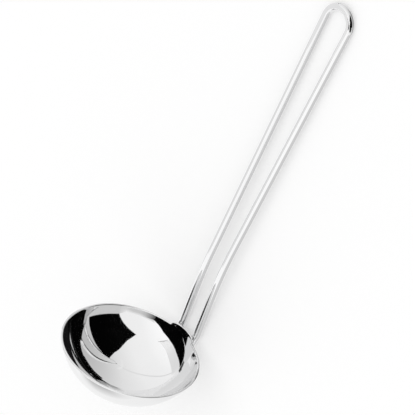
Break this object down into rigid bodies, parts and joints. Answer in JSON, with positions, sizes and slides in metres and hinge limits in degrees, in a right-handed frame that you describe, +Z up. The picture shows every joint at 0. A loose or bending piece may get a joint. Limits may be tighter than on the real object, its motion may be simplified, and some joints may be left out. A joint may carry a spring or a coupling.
{
  "type": "sauce spoon",
  "caption": "Polished steel sauce spoon: round bowl with a rounded lug on its rim, welded to a long hairpin wire handle that ends in a hanging loop.",
  "frame": {"origin": "on the table, under the middle of the spoon's box, with the spoon lying on the heels of its legs and the tip of its loop", "axes": "+X along the handle from the bowl to the closed end of the loop, +Z up from the table, XZ is the plane of symmetry"},
  "size_m": [0.244, 0.075, 0.0785],
  "materials": {
    "polished_sheet": "mirror-polished stainless sheet with very fine rubbing lines",
    "polished_wire": "polished drawn stainless wire",
    "weld_bead": "ground and rubbed weld bead, duller than the sheet"
  },
  "bodies": {
    "root": {"bowl": "polished_sheet", "handle_loop": "polished_wire", "left_weld": "weld_bead", "right_weld": "weld_bead"}
  },
  "joints": []
}
